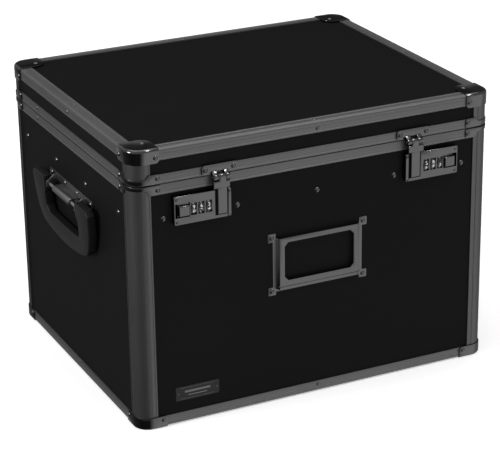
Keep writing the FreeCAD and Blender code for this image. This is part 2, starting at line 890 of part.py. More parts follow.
body_leaf = hinge_leaf(
    "body_leaf",
    "ace",
    ("gap_level - 11", "gap_level - 2.4"),
    ("gap_level - lid_barrel", "gap_level - lid_barrel + 1.3"),
)
lid_leaf = hinge_leaf(
    "lid_leaf",
    "bd",
    ("gap_level + 2.5", "gap_level + 11"),
    ("gap_level + lid_barrel - 1.3", "gap_level + lid_barrel"),
)
node("hinge_body_leaves", both_ways("body_leaves", body_leaf, "x"))
node("hinge_lid_leaves", both_ways("lid_leaves", lid_leaf, "x"))
lid_pin = rod(
    "lid_pin_left",
    "x",
    "lid_pin",
    ("-lid_hinge_place - 30", "-lid_hinge_place + 30"),
    (HINGE_Y, "gap_level"),
)
node("hinge_pins", both_ways("lid_pins", lid_pin, "x"))

# ---------------------------------------------------------------- lid stays
# The two links are as long as the distance from the lid axis to either stud, so they fold as a rhombus.
STAY_LENGTH = "sqrt((%s + lid_axis_proud - stay_place)^2 + stay_rise^2)" % BACK


def stay_link(name, near_face, rise, tilt, with_pin):
    far_face = "%s + stay_thick" % near_face
    x = (LEFT + " + " + near_face, LEFT + " + " + far_face)
    bar = box(name + "_bar", x, ("-(%s)" % STAY_LENGTH, "0"), ("-stay_wide / 2", "stay_wide / 2"))
    ends = [
        rod(name + "_end_a", "x", "stay_wide / 2", x, ("0", "0")),
        rod(name + "_end_b", "x", "stay_wide / 2", x, ("-(%s)" % STAY_LENGTH, "0")),
    ]
    solid = join(name + "_blank", bar, *ends)
    wide = (x[0] + " - 5", x[1] + " + 5")
    bores = [rod(name + "_bore_a", "x", "stay_stud + running_gap", wide, ("0", "0"))]
    if not with_pin:
        bores.append(
            rod(name + "_bore_b", "x", "stay_stud + running_gap", wide, ("-(%s)" % STAY_LENGTH, "0")),
        )
    link = cut(name + "_drilled", solid, *bores)
    if with_pin:
        pin_x = (x[0], LEFT + " + 13.3")
        head_x = (LEFT + " + 13.25", LEFT + " + 14.1")
        pin = rod(name + "_pin", "x", "stay_stud", pin_x, ("-(%s)" % STAY_LENGTH, "0"))
        head = rod(name + "_head", "x", "stay_stud + 1.2", head_x, ("-(%s)" % STAY_LENGTH, "0"))
        link = join(name + "_pinned", link, pin, head)
    else:
        link = group(name + "_whole", link)
    angle = math.degrees(math.atan2(number("stay_rise"), number("%s + lid_axis_proud - stay_place" % BACK)))
    link.Placement = Placement(Vector(), Rotation(Vector(1, 0, 0), tilt * angle))
    bind(link, Placement__Base__y="stay_place", Placement__Base__z="gap_level + (%s)" % rise)
    return link


lower_link = node("stay_lower_left", stay_link("stay_lower", "9.9", "-stay_rise", -1, True))
upper_link = node("stay_upper_left", stay_link("stay_upper", "11.7", "stay_rise", 1, False))
node("stay_lower_right", mirror("stay_lower_mirror", lower_link, "x"))
node("stay_upper_right", mirror("stay_upper_mirror", upper_link, "x"))


def stay_stud(name, start, end, rise):
    centre = ("stay_place", "gap_level + (%s)" % rise)
    shank = rod(
        name + "_shank",
        "x",
        "stay_stud",
        (LEFT + " + " + start, LEFT + " + %s + 0.5" % end),
        centre,
    )
    head = rod(
        name + "_head",
        "x",
        "stay_stud + 1.2",
        (LEFT + " + %s + 0.15" % end, LEFT + " + %s + 0.95" % end),
        centre,
    )
    return join(name, shank, head)


node(
    "stay_studs_body",
    both_ways("stay_studs_low", stay_stud("stay_stud_low", "9.3", "11.3", "-stay_rise"), "x"),
)
node(
    "stay_studs_lid",
    both_ways("stay_studs_high", stay_stud("stay_stud_high", "7.7", "13.1", "stay_rise"), "x"),
)

# ---------------------------------------------------------------- side handles (left one drawn)
GRIP_X = "%s - grip_axis_proud" % LEFT
HALF_GRIP = [
    ("46", "8.5"),
    ("78", "8.5"),
    ("83.5", "3.5"),
    ("82.5", "-12"),
    ("75", "-37"),
    ("64", "-49"),
    ("34", "-55.2"),
]
HALF_HOLLOW = [("44", "-34"), ("50", "-27"), ("50", "-12"), ("46", "-7")]
outline = HALF_GRIP + [("0", "-57.5")] + [("-" + y, z) for y, z in reversed(HALF_GRIP)]
outline += [("-" + y, z) for y, z in reversed(HALF_HOLLOW)] + [("0", "-35")] + HALF_HOLLOW
grip = prism("grip", "x", outline, ("-grip_thick / 2", "grip_thick / 2"))
half_thick = number("grip_thick / 2")
soften(grip, "grip_soft", "2.6", lambda p: abs(abs(p.x) - half_thick) < 0.01)
grip_bores = [
    rod("grip_bore_%s" % side, "y", "grip_rod + running_gap", span, ("0", "0"))
    for side, span in (("a", ("40", "63")), ("b", ("-63", "-40")))
]
grip_left = cut("grip_left", grip, *grip_bores)
grip_left.Placement = Placement(Vector(), Rotation(Vector(0, 1, 0), -number("grip_tilt")))
bind(grip_left, Placement__Base__x=GRIP_X, Placement__Base__z="grip_axis_level")
node("handle_grip_left", grip_left)
node("handle_grip_right", mirror("grip_right", grip_left, "x"))

grip_rod = rod("grip_rod_left", "y", "grip_rod", ("-62", "62"), (GRIP_X, "grip_axis_level"))
node("handle_rods", both_ways("grip_rods", grip_rod, "x"))

PLATE_X = ("%s - 0.2" % LEFT, "%s + panel_recess - 0.05" % LEFT)
STRIP_X = ("%s + 0.3" % LEFT, "%s + panel_recess - 0.05" % LEFT)
strip = box("bracket_strip", STRIP_X, ("-64", "64"), ("grip_axis_level + 3", "grip_axis_level + 12"))
strip_round = rounded("bracket_strip_round", strip, [("3", lambda p: True, "x")])
tab = box("bracket_tab", PLATE_X, ("-25", "25"), ("grip_axis_level - 6", "grip_axis_level + 3.6"))
shelf = box(
    "bracket_shelf",
    (GRIP_X, LEFT),
    ("-25", "25"),
    ("grip_axis_level + 2.6", "grip_axis_level + 4.1"),
)
roll = rod("bracket_roll", "y", "4.1", ("-25", "25"), (GRIP_X, "grip_axis_level"))
ear_outline = [
    (LEFT + " + panel_recess - 0.05", "grip_axis_level + 10"),
    (LEFT + " - 3", "grip_axis_level + 10"),
    (LEFT + " - 12.6", "grip_axis_level + 3"),
    (LEFT + " - 12.6", "grip_axis_level - 3"),
    (LEFT + " - 10", "grip_axis_level - 4.5"),
    (LEFT + " + panel_recess - 0.05", "grip_axis_level - 4.5"),
]
ear = prism("bracket_ear", "y", ear_outline, ("42", "44.4"))
ears = both_ways("bracket_ears", ear, "y")
bracket_bore = rod(
    "bracket_bore",
    "y",
    "grip_rod + running_gap",
    ("-70", "70"),
    (GRIP_X, "grip_axis_level"),
)
ear_mirror = doc.getObject("bracket_ears_mirror")
bracket_shape = join("bracket_shape", strip_round, tab, shelf, roll, ear, ear_mirror)
bracket_left = node("handle_bracket_left", cut("bracket_left", bracket_shape, bracket_bore))
node("handle_bracket_right", mirror("bracket_right", bracket_left, "x"))

# ---------------------------------------------------------------- card holder and name plate
SEAT = "-panel_recess + 0.05"
TOP_OF_SEAT = "-panel_recess + 0.05 + holder_sheet"
window = [
    ("-42.1", "148"),
    ("-37.8", "143.4"),
    ("37.8", "143.4"),
    ("42.1", "148"),
    ("42.1", "183"),
    ("37.8", "187.6"),
    ("-37.8", "187.6"),
    ("-42.1", "183"),
]
face_plate = box(
    "holder_face",
    ("-holder_plate_half", "holder_plate_half"),
    front_span("holder_proud - holder_sheet", "holder_proud"),
    ("137.6", "193"),
)
face_window = prism("holder_window", "y", window, front_span("holder_proud - 3", "holder_proud + 3"))
holder_face = cut("holder_face_cut", face_plate, face_window)
side_wall = prism(
    "holder_side",
    "z",
    [
        ("-holder_plate_half", front("holder_proud")),
        ("-holder_plate_half", front("holder_proud - holder_sheet")),
        ("-50", front(SEAT)),
        ("-51.2", front(SEAT)),
        ("-51.2", front(TOP_OF_SEAT)),
        ("-50.4", front(TOP_OF_SEAT)),
        ("-48", front("holder_proud")),
    ],
    ("133.6", "193"),
)
floor_wall = prism(
    "holder_floor",
    "x",
    [
        (front("holder_proud"), "137.6"),
        (front("holder_proud - holder_sheet"), "137.6"),
        (front(SEAT), "134.4"),
        (front(SEAT), "133.2"),
        (front(TOP_OF_SEAT), "133.2"),
        (front(TOP_OF_SEAT), "134.2"),
        (front("holder_proud"), "137.1"),
    ],
    ("-50.4", "50.4"),
)
side_flange = box(
    "holder_flange",
    ("-holder_half", "-50.6"),
    front_span(SEAT, TOP_OF_SEAT),
    ("130.8", "189"),
)
low_flange = box(
    "holder_low_flange",
    ("-holder_half", "holder_half"),
    front_span(SEAT, TOP_OF_SEAT),
    ("130.8", "133.6"),
)
ear_tabs = []
for place, low, high in (("top", "188.8", "198.6"), ("bottom", "127", "136.4")):
    tab_block = box("holder_ear_" + place, ("-60.3", "-50.8"), front_span(SEAT, TOP_OF_SEAT), (low, high))
    ear_tabs.append(
        rounded(
            "holder_ear_%s_round" % place,
            tab_block,
            [("1.2", lambda p: near(p.x, "-60.3"), "y")],
        )
    )
holder_half = join("holder_half", side_wall, side_flange, *ear_tabs)
holder_other = mirror("holder_other_half", holder_half, "x")
node(
    "card_holder",
    join("card_holder_piece", holder_face, floor_wall, low_flange, holder_half, holder_other),
)

name_block = box(
    "name_block",
    ("-172", "-120.6"),
    front_span("-panel_recess + 0.05", "-panel_recess + 0.65"),
    ("26", "42.4"),
)
node(
    "name_plate",
    rounded(
        "name_plate_piece",
        name_block,
        [("1.5", lambda p: True, "y")],
    ),
)

# ---------------------------------------------------------------- hanging-file rails
RAIL_Y = ("%s + rail_inset - rail_thick / 2" % FRONT, "%s + rail_inset + rail_thick / 2" % FRONT)
RAIL_X = ("%s + rail_inset - rail_thick / 2" % LEFT, "%s + rail_inset + rail_thick / 2" % LEFT)
front_rail = box("front_rail", ("%s + 24.5" % LEFT, "%s - 24.5" % RIGHT), RAIL_Y, ("rail_low", "rail_high"))
side_rail = box("side_rail", RAIL_X, ("%s + 24.5" % FRONT, "%s - 24.5" % BACK), ("rail_low", "rail_high"))
node("file_rails_front_back", both_ways("rails_front_back", front_rail, "y"))
node("file_rails_sides", both_ways("rails_sides", side_rail, "x"))


def clip_outline(start):
    return [
        ("%s + %s + 0.05" % (start, PANEL_IN), "rail_low + 11"),
        ("%s + %s + 1.35" % (start, PANEL_IN), "rail_low + 11"),
        ("%s + %s + 1.35" % (start, PANEL_IN), "rail_low - 0.1"),
        ("%s + rail_inset + rail_thick / 2 + 1" % start, "rail_low - 0.1"),
        ("%s + rail_inset + rail_thick / 2 + 1" % start, "rail_low - 1.5"),
        ("%s + %s + 0.05" % (start, PANEL_IN), "rail_low - 1.5"),
    ]


FRONT_PLACES = (0.0, 94.5, -94.5, 179.5, -179.5)
SIDE_PLACES = (44.0, -44.0, 137.0, -137.0)
front_clips = [
    prism("front_clip_%d" % i, "x", clip_outline(FRONT), ("%.1f - 6" % place, "%.1f + 6" % place))
    for i, place in enumerate(FRONT_PLACES)
]
side_clips = [
    prism("side_clip_%d" % i, "y", clip_outline(LEFT), ("%.1f - 6" % place, "%.1f + 6" % place))
    for i, place in enumerate(SIDE_PLACES)
]
node("rail_clips_front_back", both_ways("clips_front_back", group("clips_front", *front_clips), "y"))
node("rail_clips_sides", both_ways("clips_sides", group("clips_left", *side_clips), "x"))

# ---------------------------------------------------------------- rivet heads
DIRECTIONS = {
    "front": Vector(0, -1, 0),
    "back": Vector(0, 1, 0),
    "left": Vector(-1, 0, 0),
    "right": Vector(1, 0, 0),
    "top": Vector(0, 0, 1),
}
HALF_W = number(RIGHT)
HALF_D = number(BACK)
TALL = number("case_height")
PANEL_DEEP = -number("panel_recess")
FLAT_DEEP = -number(FLAT)


def dome(face, proud, across, level, radius, height):
    """A domed head on a face: across is the place along the face, level the height, or Y on the top."""
    ball = (radius**2 + height**2) / (2 * height)
    way = DIRECTIONS[face]
    seats = {
        "front": Vector(across, -HALF_D - proud, level),
        "back": Vector(across, HALF_D + proud, level),
        "left": Vector(-HALF_W - proud, across, level),
        "right": Vector(HALF_W + proud, across, level),
        "top": Vector(across, level, TALL + proud),
    }
    latitude = math.degrees(math.asin((ball - height) / ball))
    centre = seats[face] + way * (0.02 + height - ball)
    return Part.makeSphere(ball, centre, way, latitude, 90, 360)


def heads(name, places):
    item = doc.addObject("Part::Feature", name)
    item.Shape = Part.makeCompound([dome(*place) for place in places])
    return item


LEVEL = number("rivet_level")
CAP = number("cap_thick + 0.05")
BRACKET = number("bracket_thick + 0.05")
LOCK = number("lock_proud")
SEATED = number(TOP_OF_SEAT)
GAP = number("gap_level")
PANEL_HEAD = (3.1, 1.5)
EDGE_HEAD = (2.2, 1.0)
PLATE_HEAD = (2.7, 1.25)
BASE_HEAD = (1.9, 0.9)
SMALL_HEAD = (1.7, 0.8)
LOCK_PLACES = [(167.3, 259.8), (167.3, 234.9), (108, 233.3), (106.7, 260.2)]
body_places = []
lid_places = []
for face in ("front", "back"):
    body_places += [(face, PANEL_DEEP, x, LEVEL, *PANEL_HEAD) for x in FRONT_PLACES]
    body_places += [(face, FLAT_DEEP, 0, 8.55, *BASE_HEAD)]
    body_places += [(face, CAP, x, 9.2, *PLATE_HEAD) for x in (-187.5, 187.5)]
    body_places += [(face, BRACKET, x, GAP - 5.9, *PLATE_HEAD) for x in (-186, 186)]
    lid_places += [(face, FLAT_DEEP, 0, TALL - 7.7, *EDGE_HEAD)]
    lid_places += [(face, CAP, x, TALL - 8.8, *PLATE_HEAD) for x in (-187.5, 187.5)]
    lid_places += [(face, BRACKET, x, GAP + 7, *PLATE_HEAD) for x in (-186, 186)]
for face in ("left", "right"):
    body_places += [(face, PANEL_DEEP, y, LEVEL, *PANEL_HEAD) for y in SIDE_PLACES]
    body_places += [(face, FLAT_DEEP, 0, 8.55, *BASE_HEAD)]
    body_places += [(face, CAP, y, 9.2, *PLATE_HEAD) for y in (-150.5, 150.5)]
    body_places += [(face, BRACKET, y, GAP - 5.9, *PLATE_HEAD) for y in (-149, 149)]
    body_places += [(face, FLAT_DEEP, 98, GAP - 5.9, *EDGE_HEAD)]
    body_places += [(face, -0.3, y, 220.5, *PLATE_HEAD) for y in (-58, -18, 18, 58)]
    lid_places += [(face, FLAT_DEEP, 0, TALL - 7.7, *EDGE_HEAD)]
    lid_places += [(face, CAP, y, TALL - 8.8, *PLATE_HEAD) for y in (-150.5, 150.5)]
    lid_places += [(face, BRACKET, y, GAP + 7, *PLATE_HEAD) for y in (-149, 149)]
    lid_places += [(face, FLAT_DEEP, 98, GAP + 6.2, *EDGE_HEAD)]
for side in (-1, 1):
    body_places += [("front", LOCK, side * x, z, *SMALL_HEAD) for x, z in LOCK_PLACES]
    body_places += [("front", SEATED, side * 55.5, z, *PLATE_HEAD) for z in (193.8, 131.6)]
    body_places += [("back", 1.25, side * 115 + x, GAP - 7.5, *PLATE_HEAD) for x in (-24, 0, 24)]
    lid_places += [("back", 1.25, side * 115 + x, GAP + 7.6, *PLATE_HEAD) for x in (-24, 0, 24)]
    lid_places += [("front", 1.6, side * x, GAP + 6.6, 2.9, 1.3) for x in (132.2, 100.0)]
    lid_places += [("top", FLAT_DEEP, side * 206.3, 0, *EDGE_HEAD)]
    lid_places += [("top", FLAT_DEEP, 0, side * 169.3, *EDGE_HEAD)]
    lid_places += [("top", CAP, side * 192.5, y, *PLATE_HEAD) for y in (-156.5, 156.5)]
body_places += [("front", PANEL_DEEP + 0.65, x, 34.2, 1.2, 0.5) for x in (-169, -123.6)]
node("body_rivets", heads("body_heads", body_places))
node("lid_rivets", heads("lid_heads", lid_places))

# ---------------------------------------------------------------- checks and export
doc.recompute()
for item in doc.Objects:
    if any(word in item.State for word in ("Invalid", "Error")):
        raise RuntimeError("%s is not sound: %s" % (item.Name, item.State))
for name, item in NODES.items():
    if item.Shape.isNull() or not item.Shape.isValid() or not item.Shape.Solids:
        raise RuntimeError("%s has no sound solid" % name)
for name, item in NODES.items():
    item.Shape.exportStep("parts/%s.step" % name)
print("%d pieces written" % len(NODES))
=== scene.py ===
# %% [markdown]
# # A black file chest with two combination locks
# The chest's body, lid, locks, hasps and handles already exist as exact solids, each in its true place.
# This lesson gives them their finishes, swaps the plainest solids for softer and finer shapes, and sets
# up a small studio round them. The first cell loads the solids.

# %% Load the solids
import json
import math
import bmesh
import bpy
from mathutils import Matrix, Vector

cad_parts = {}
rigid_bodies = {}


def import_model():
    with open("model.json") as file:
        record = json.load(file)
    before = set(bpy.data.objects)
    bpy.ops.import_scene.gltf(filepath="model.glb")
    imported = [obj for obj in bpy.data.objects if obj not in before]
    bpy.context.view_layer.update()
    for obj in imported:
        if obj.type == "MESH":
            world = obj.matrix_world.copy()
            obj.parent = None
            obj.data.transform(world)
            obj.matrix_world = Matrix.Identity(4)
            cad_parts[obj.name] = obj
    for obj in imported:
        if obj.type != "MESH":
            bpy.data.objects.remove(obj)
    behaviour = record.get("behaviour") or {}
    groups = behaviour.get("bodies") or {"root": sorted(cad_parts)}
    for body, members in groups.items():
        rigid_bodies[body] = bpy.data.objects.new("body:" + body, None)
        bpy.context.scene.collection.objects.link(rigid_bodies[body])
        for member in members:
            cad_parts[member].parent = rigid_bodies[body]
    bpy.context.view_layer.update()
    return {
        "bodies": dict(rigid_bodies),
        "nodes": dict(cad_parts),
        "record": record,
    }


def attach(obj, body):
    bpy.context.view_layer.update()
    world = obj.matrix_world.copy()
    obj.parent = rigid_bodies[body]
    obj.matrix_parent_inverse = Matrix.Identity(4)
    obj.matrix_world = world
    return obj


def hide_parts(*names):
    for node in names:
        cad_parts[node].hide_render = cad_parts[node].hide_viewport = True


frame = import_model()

nodes = frame["nodes"]

# %% [markdown]
# ## The camera
# A long lens stands in front and to the left, and looks down on the chest. A camera looks along its own
# -Z axis, so its three axes are built from the turn round the chest, the height angle and a slight roll.

# %% Aim the camera
CAMERA_PLACE = Vector((-0.9214, -1.9291, 0.9951))
CAMERA_TURN = math.radians(-25.634)
CAMERA_RISE = math.radians(21.945)
CAMERA_ROLL = math.radians(-0.853)
LENS_MM = 142.5


def camera_frame(turn, rise, roll):
    """The camera's axes as the columns of a matrix."""
    level = math.cos(rise)
    back = Vector((math.sin(turn) * level, -math.cos(turn) * level, math.sin(rise)))
    right = Vector((0, 0, 1)).cross(back).normalized()
    up = back.cross(right)
    rolled_right = right * math.cos(roll) + up * math.sin(roll)
    rolled_up = up * math.cos(roll) - right * math.sin(roll)
    return Matrix((rolled_right, rolled_up, back)).transposed()


lens = bpy.data.cameras.new("studio_camera")
lens.lens = LENS_MM
lens.sensor_width = 36.0
lens.clip_end = 50.0
camera = bpy.data.objects.new("studio_camera", lens)
camera_axes = camera_frame(CAMERA_TURN, CAMERA_RISE, CAMERA_ROLL)
camera.matrix_world = Matrix.Translation(CAMERA_PLACE) @ camera_axes.to_4x4()
bpy.context.scene.collection.objects.link(camera)
bpy.context.scene.camera = camera
print("camera", [round(v, 3) for v in camera.location], "lens", lens.lens)

# %% [markdown]
# ## The studio
# Polished metal shows its surroundings more than its own colour, so the studio is built for what the
# metal sees. The sky of the scene is painted by direction: a bright card stands to the right of the
# front, where the flat front plates look, and black cloth hangs behind and to the left, which keeps the
# tops and corners dark. The floor is left out of the reflections, as a studio's flags would leave it out.

# %% Paint the surroundings by direction
WORLD_WHITE = 1.0
HORIZON_SHARPNESS = 2.5


def new_node(tree, kind, **settings):
    """A shader node with its sockets set by name or by number."""
    item = tree.nodes.new(kind)
    for key, value in settings.items():
        if hasattr(item, key):
            setattr(item, key, value)
        else:
            item.inputs[key.replace("_", " ")].default_value = value
    return item


def math_node(tree, operation, a, b=None, clamp=False):
    """One sum of two numbers or links."""
    item = tree.nodes.new("ShaderNodeMath")
    item.operation = operation
    item.use_clamp = clamp
    for slot, value in enumerate((a, b)):
        if value is None:
            continue
        if isinstance(value, (int, float)):
            item.inputs[slot].default_value = value
        else:
            tree.links.new(value, item.inputs[slot])
    return item.outputs[0]


world = bpy.data.worlds.new("studio_surroundings")
bpy.context.scene.world = world
world.use_nodes = True
sky = world.node_tree
sky.nodes.clear()
direction = sky.nodes.new("ShaderNodeTexCoord")
split = sky.nodes.new("ShaderNodeSeparateXYZ")
sky.links.new(direction.outputs["Generated"], split.inputs[0])
toward_front = math_node(sky, "MULTIPLY", split.outputs["Y"], -1.0)
turn = math_node(sky, "ARCTAN2", split.outputs["X"], toward_front)
turn_share = math_node(sky, "ADD", math_node(sky, "DIVIDE", turn, 2 * math.pi), 0.5)
# Stops run right round the horizon: from behind, past the left, the front (0.5) and the right.
LOW_STOPS = [
    (0.0, 0.35),
    (0.06, 0.16),
    (0.11, 0.1),
    (0.3, 0.04),
    (0.47, 0.05),
    (0.52, 0.5),
    (0.56, 1.2),
    (0.64, 1.25),
    (0.72, 0.5),
    (0.85, 0.3),
    (1.0, 0.35),
]
HIGH_STOPS = [
    (0.0, 0.45),
    (0.3, 0.6),
    (0.5, 0.5),
    (0.72, 0.45),
    (0.86, 0.12),
    (0.93, 0.05),
    (0.98, 0.12),
    (1.0, 0.45),
]


def brightness_ramp(tree, factor, stops):
    """A grey ramp over a factor from 0 to 1."""
    item = tree.nodes.new("ShaderNodeValToRGB")
    tree.links.new(factor, item.inputs["Fac"])
    ramp = item.color_ramp
    while len(ramp.elements) > 1:
        ramp.elements.remove(ramp.elements[-1])
    ramp.elements[0].position = stops[0][0]
    ramp.elements[0].color = (stops[0][1],) * 3 + (1,)
    for place, level in stops[1:]:
        stop = ramp.elements.new(place)
        stop.color = (level,) * 3 + (1,)
    return item.outputs["Color"]


low_light = brightness_ramp(sky, turn_share, LOW_STOPS)
high_light = brightness_ramp(sky, turn_share, HIGH_STOPS)
rise = math_node(sky, "MULTIPLY_ADD", split.outputs["Z"], HORIZON_SHARPNESS, clamp=True)
rise.node.inputs[2].default_value = 0.5
blend_levels = sky.nodes.new("ShaderNodeMix")
blend_levels.data_type = "RGBA"
sky.links.new(rise, blend_levels.inputs["Factor"])
sky.links.new(low_light, blend_levels.inputs["A"])
sky.links.new(high_light, blend_levels.inputs["B"])
room = new_node(sky, "ShaderNodeBackground", Strength=1.0)
sky.links.new(blend_levels.outputs["Result"], room.inputs["Color"])
backdrop = new_node(sky, "ShaderNodeBackground", Strength=WORLD_WHITE)
backdrop.inputs["Color"].default_value = (1, 1, 1, 1)
rays = sky.nodes.new("ShaderNodeLightPath")
choose = sky.nodes.new("ShaderNodeMixShader")
sky.links.new(rays.outputs["Is Camera Ray"], choose.inputs["Fac"])
sky.links.new(room.outputs[0], choose.inputs[1])
sky.links.new(backdrop.outputs[0], choose.inputs[2])
world_out = sky.nodes.new("ShaderNodeOutputWorld")
sky.links.new(choose.outputs[0], world_out.inputs["Surface"])
bpy.context.scene.view_settings.view_transform = "Standard"
print("surroundings painted with", len(LOW_STOPS), "stops")

# %% [markdown]
# ## Floor and lights
# The floor is one pale sheet that glows a little, so that it stays white up to its edges. A wide lamp
# hangs overhead, one stands to the left, and a small one in front draws a line along the top edges.

# %% Lay the floor and hang the lights


def finish_material(name, colour, roughness, metallic=0.0, specular=0.5):
    """A material with one Principled shader, ready for its patterns."""
    material = bpy.data.materials.new(name)
    material.use_nodes = True
    shader = material.node_tree.nodes["Principled BSDF"]
    shader.inputs["Base Color"].default_value = (*colour, 1)
    shader.inputs["Roughness"].default_value = roughness
    shader.inputs["Metallic"].default_value = metallic
    shader.inputs["Specular IOR Level"].default_value = specular
    return material


FLOOR_GAP = 0.0002
FLOOR_GLOW = 0.4
floor_mesh = bmesh.new()
bmesh.ops.create_grid(floor_mesh, x_segments=1, y_segments=1, size=6.0)
bmesh.ops.translate(floor_mesh, vec=(0, 0, -FLOOR_GAP), verts=floor_mesh.verts)
floor_data = bpy.data.meshes.new("studio_floor")
floor_mesh.to_mesh(floor_data)
floor = bpy.data.objects.new("studio_floor", floor_data)
floor_paper = finish_material("floor_paper", (0.93, 0.93, 0.93), 0.9, specular=0.1)
floor_shader = floor_paper.node_tree.nodes["Principled BSDF"]
floor_shader.inputs["Emission Color"].default_value = (1, 1, 1, 1)
floor_shader.inputs["Emission Strength"].default_value = FLOOR_GLOW
floor_data.materials.append(floor_paper)
floor.visible_glossy = False
bpy.context.scene.collection.objects.link(floor)


def soft_light(name, place, size, power, target=(0, 0, 0.15)):
    """A square lamp that faces a point."""
    lamp = bpy.data.lights.new(name, "AREA")
    lamp.shape = "RECTANGLE"
    lamp.size, lamp.size_y = size
    lamp.energy = power
    item = bpy.data.objects.new(name, lamp)
    item.location = place
    item.rotation_euler = (Vector(target) - Vector(place)).to_track_quat("-Z", "Y").to_euler()
    bpy.context.scene.collection.objects.link(item)
    return item


soft_light("overhead_light", (0.2, 0.5, 2.6), (2.6, 2.2), 26)
soft_light("left_light", (-2.3, -0.1, 1.0), (0.8, 0.9), 30)
soft_light("edge_light", (0.8, -1.1, 2.4), (0.3, 0.3), 12)

# %% [markdown]
# ## Finishes
# Each finish is one Principled shader with a few patterns. The grain that they share is a node group.

# %% The shared grain


def pattern_group(name, inputs, outputs):
    """An empty node group with named sockets."""
    group = bpy.data.node_groups.new(name, "ShaderNodeTree")
    for label, kind, value in inputs:
        socket = group.interface.new_socket(name=label, in_out="INPUT", socket_type=kind)
        if value is not None:
            socket.default_value = value
    for label, kind in outputs:
        group.interface.new_socket(name=label, in_out="OUTPUT", socket_type=kind)
    return group, group.nodes.new("NodeGroupInput"), group.nodes.new("NodeGroupOutput")


FLOAT, COLOUR = "NodeSocketFloat", "NodeSocketColor"
grain, grain_in, grain_out = pattern_group(
    "fine_grain",
    [
        ("Scale", FLOAT, 900.0),
        ("Dark", COLOUR, (0.01, 0.01, 0.01, 1)),
        ("Light", COLOUR, (0.02, 0.02, 0.02, 1)),
        ("Smooth", FLOAT, 0.4),
        ("Rough", FLOAT, 0.6),
    ],
    [("Color", COLOUR), ("Roughness", FLOAT), ("Height", FLOAT)],
)
grain_place = grain.nodes.new("ShaderNodeTexCoord")
grain_noise = new_node(grain, "ShaderNodeTexNoise", Detail=3.0, Roughness=0.6)
grain.links.new(grain_place.outputs["Object"], grain_noise.inputs["Vector"])
grain.links.new(grain_in.outputs["Scale"], grain_noise.inputs["Scale"])
cloud = new_node(grain, "ShaderNodeTexNoise", Scale=9.0, Detail=2.0, Roughness=0.5)
grain.links.new(grain_place.outputs["Object"], cloud.inputs["Vector"])
fine_share = math_node(grain, "MULTIPLY", grain_noise.outputs["Fac"], 0.7)
cloud_share = math_node(grain, "MULTIPLY", cloud.outputs["Fac"], 0.3)
level = math_node(grain, "ADD", fine_share, cloud_share)
tone = grain.nodes.new("ShaderNodeMix")
tone.data_type = "RGBA"
grain.links.new(level, tone.inputs["Factor"])
grain.links.new(grain_in.outputs["Dark"], tone.inputs["A"])
grain.links.new(grain_in.outputs["Light"], tone.inputs["B"])
rough = grain.nodes.new("ShaderNodeMapRange")
grain.links.new(level, rough.inputs["Value"])
rough.inputs["From Min"].default_value = 0.35
rough.inputs["From Max"].default_value = 0.65
grain.links.new(grain_in.outputs["Smooth"], rough.inputs["To Min"])
grain.links.new(grain_in.outputs["Rough"], rough.inputs["To Max"])
grain.links.new(tone.outputs["Result"], grain_out.inputs["Color"])
grain.links.new(rough.outputs["Result"], grain_out.inputs["Roughness"])
grain.links.new(grain_noise.outputs["Fac"], grain_out.inputs["Height"])
print("pattern groups:", [g.name for g in bpy.data.node_groups])


def grey(level):
    return (level, level, level * 1.02, 1)


def grained(
    name,
    dark,
    light,
    smooth,
    rough_level,
    scale=900.0,
    bump=0.0,
    bump_depth=0.0001,
    metallic=0.0,
    specular=0.5,
):
    """A finish with the shared grain in its colour, gloss and relief."""
    material = finish_material(name, (dark, dark, dark), smooth, metallic, specular)
    tree = material.node_tree
    shader = tree.nodes["Principled BSDF"]
    pattern = tree.nodes.new("ShaderNodeGroup")
    pattern.node_tree = grain
    pattern.inputs["Scale"].default_value = scale
    pattern.inputs["Dark"].default_value = grey(dark)
    pattern.inputs["Light"].default_value = grey(light)
    pattern.inputs["Smooth"].default_value = smooth
    pattern.inputs["Rough"].default_value = rough_level
    tree.links.new(pattern.outputs["Color"], shader.inputs["Base Color"])
    tree.links.new(pattern.outputs["Roughness"], shader.inputs["Roughness"])
    if bump:
        relief = new_node(tree, "ShaderNodeBump", Strength=bump, Distance=bump_depth)
        tree.links.new(pattern.outputs["Height"], relief.inputs["Height"])
        tree.links.new(relief.outputs["Normal"], shader.inputs["Normal"])
    return material


def add_streaks(material, across=None):
    """Rolling marks: along the rims where the sides they lie on are given, else up the posts."""
    tree = material.node_tree
    shader = tree.nodes["Principled BSDF"]
    pattern = next(item for item in tree.nodes if item.type == "GROUP")
    place = tree.nodes.new("ShaderNodeTexCoord")
    parts = tree.nodes.new("ShaderNodeSeparateXYZ")
    tree.links.new(place.outputs["Object"], parts.inputs[0])
    wide = math_node(tree, "ABSOLUTE", parts.outputs["X"])
    deep = math_node(tree, "ABSOLUTE", parts.outputs["Y"])
    if across:
        from_x = math_node(tree, "SUBTRACT", across[0], wide)
        from_y = math_node(tree, "SUBTRACT", across[1], deep)
        nearer = math_node(tree, "MINIMUM", from_x, from_y)
        line_place = math_node(tree, "ADD", nearer, parts.outputs["Z"])
    else:
        line_place = math_node(tree, "SUBTRACT", wide, deep)
    lines = new_node(tree, "ShaderNodeTexNoise", Scale=1500.0, Detail=2.0, Roughness=0.6)
    lines.noise_dimensions = "1D"
    tree.links.new(line_place, lines.inputs["W"])
    gain = math_node(tree, "MULTIPLY_ADD", lines.outputs["Fac"], 2.0)
    gain.node.inputs[2].default_value = 0.0
    tint = tree.nodes.new("ShaderNodeVectorMath")
    tint.operation = "SCALE"
    tree.links.new(pattern.outputs["Color"], tint.inputs[0])
    tree.links.new(gain, tint.inputs["Scale"])
    tree.links.new(tint.outputs[0], shader.inputs["Base Color"])


